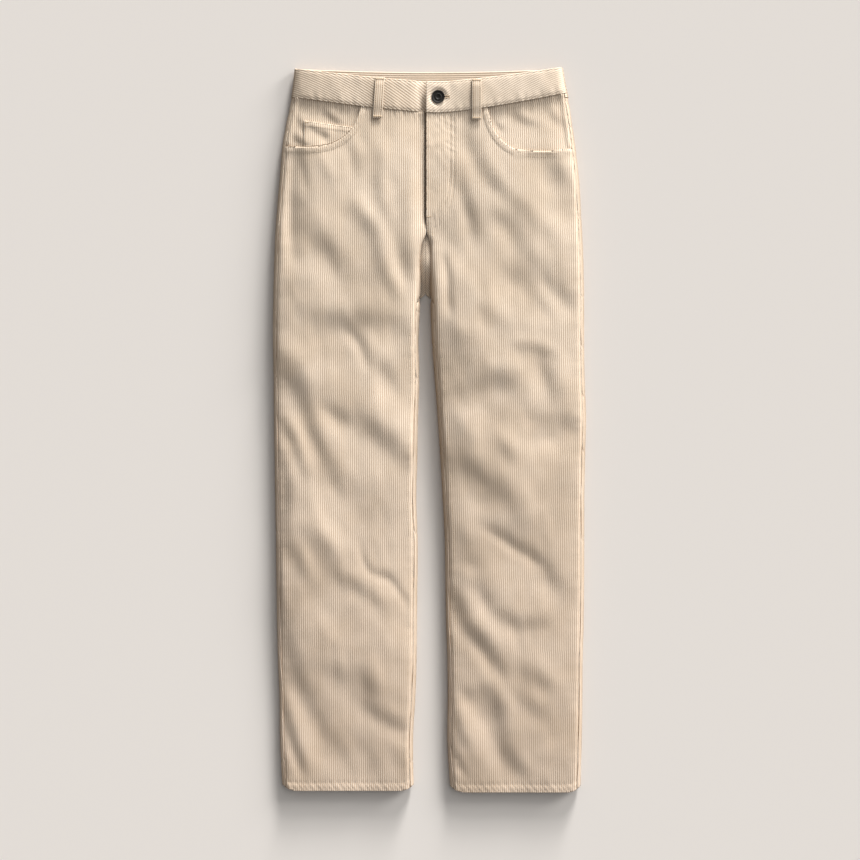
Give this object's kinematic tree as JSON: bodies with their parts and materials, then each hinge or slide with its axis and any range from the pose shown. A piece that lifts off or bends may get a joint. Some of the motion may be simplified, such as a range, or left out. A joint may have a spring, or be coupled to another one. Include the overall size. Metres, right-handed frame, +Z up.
{
  "type": "trousers",
  "caption": "Straight-leg corduroy trousers laid out flat with the front upwards, with a waistband, belt loops, a buttoned fly and scoop pockets.",
  "frame": {"origin": "under the middle of the laid-out outline, on the plane that the trousers lie on", "axes": "+Y from the hems to the waist, +X towards the wearer's left leg, +Z up out of the front"},
  "size_m": [0.4706, 1.0872, 0.0289],
  "materials": {
    "cloth": "cream cotton corduroy, wales about 3.2 mm apart",
    "button": "dark, half-matt"
  },
  "bodies": {
    "root": {"front_right": "cloth", "front_left": "cloth", "back_right": "cloth", "back_left": "cloth", "pocket_facing_right": "cloth", "pocket_facing_left": "cloth", "coin_pocket": "cloth", "waistband_front_right": "cloth", "waistband_front_left": "cloth", "waistband_back": "cloth", "fly_shield": "cloth", "belt_loop_front_right": "cloth", "belt_loop_front_left": "cloth", "belt_loop_back_1": "cloth", "belt_loop_back_2": "cloth", "belt_loop_back_3": "cloth", "button": "button"}
  },
  "joints": []
}
